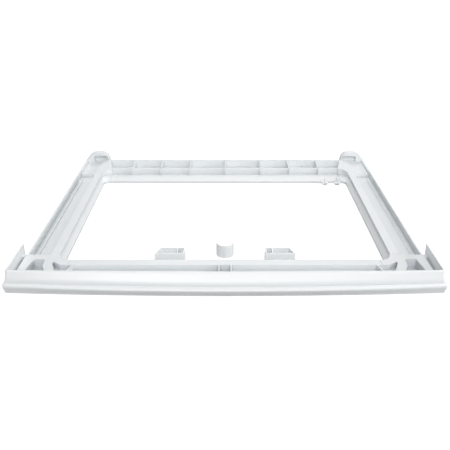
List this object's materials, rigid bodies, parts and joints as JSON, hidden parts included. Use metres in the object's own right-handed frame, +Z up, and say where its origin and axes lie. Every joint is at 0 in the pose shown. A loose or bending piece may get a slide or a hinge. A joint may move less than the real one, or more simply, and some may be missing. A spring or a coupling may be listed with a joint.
{
  "type": "washer dryer stacking kit",
  "caption": "Low white plastic frame that sits between a washing machine and a dryer, with a bowed front, foot pockets, a ribbed rear bar and foot stops, plus loose brackets, sleeve and screws.",
  "frame": {"origin": "under the middle of the bounding box, on the washing machine's top", "axes": "+X to the right seen from the front (longest), +Y to the back, +Z up (shortest)"},
  "size_m": [0.603, 0.5432, 0.033],
  "materials": {
    "fascia_white": "semi-gloss white",
    "frame_white": "satin white",
    "accessory_white": "satin cool white",
    "pad_rubber": "matt",
    "screw_steel": "plain"
  },
  "bodies": {
    "frame": {"front_fascia": "fascia_white", "right_end_wing": "fascia_white", "left_end_wing": "fascia_white", "front_crossbar": "frame_white", "right_front_corner_block": "frame_white", "right_side_rail": "frame_white", "right_rear_corner_block": "frame_white", "right_rear_foot_stop": "frame_white", "left_front_corner_block": "frame_white", "left_side_rail": "frame_white", "left_rear_corner_block": "frame_white", "left_rear_foot_stop": "frame_white", "rear_crossbar": "frame_white", "right_front_pad": "pad_rubber", "right_rear_pad": "pad_rubber", "left_front_pad": "pad_rubber", "left_rear_pad": "pad_rubber", "right_front_crossbar_screw": "screw_steel", "right_front_rail_screw": "screw_steel", "right_rear_crossbar_screw": "screw_steel", "right_rear_rail_screw": "screw_steel", "left_front_crossbar_screw": "screw_steel", "left_front_rail_screw": "screw_steel", "left_rear_crossbar_screw": "screw_steel", "left_rear_rail_screw": "screw_steel"},
    "right_bracket": {"right_bracket": "accessory_white"},
    "left_bracket": {"left_bracket": "accessory_white"},
    "spacer_sleeve": {"spacer_sleeve": "accessory_white"},
    "fixing_screw_1": {"fixing_screw_1": "accessory_white"},
    "fixing_screw_2": {"fixing_screw_2": "accessory_white"}
  },
  "joints": [
    {"name": "right_bracket_lift", "type": "slide", "parent": "frame", "child": "right_bracket", "axis": [0, 0, 1], "range_m": [0, 0.05]},
    {"name": "left_bracket_lift", "type": "slide", "parent": "frame", "child": "left_bracket", "axis": [0, 0, 1], "range_m": [0, 0.05]},
    {"name": "spacer_sleeve_lift", "type": "slide", "parent": "frame", "child": "spacer_sleeve", "axis": [0, 0, 1], "range_m": [0, 0.05]},
    {"name": "fixing_screw_1_lift", "type": "slide", "parent": "frame", "child": "fixing_screw_1", "axis": [0, 0, 1], "range_m": [0, 0.05]},
    {"name": "fixing_screw_2_lift", "type": "slide", "parent": "frame", "child": "fixing_screw_2", "axis": [0, 0, 1], "range_m": [0, 0.05]}
  ]
}
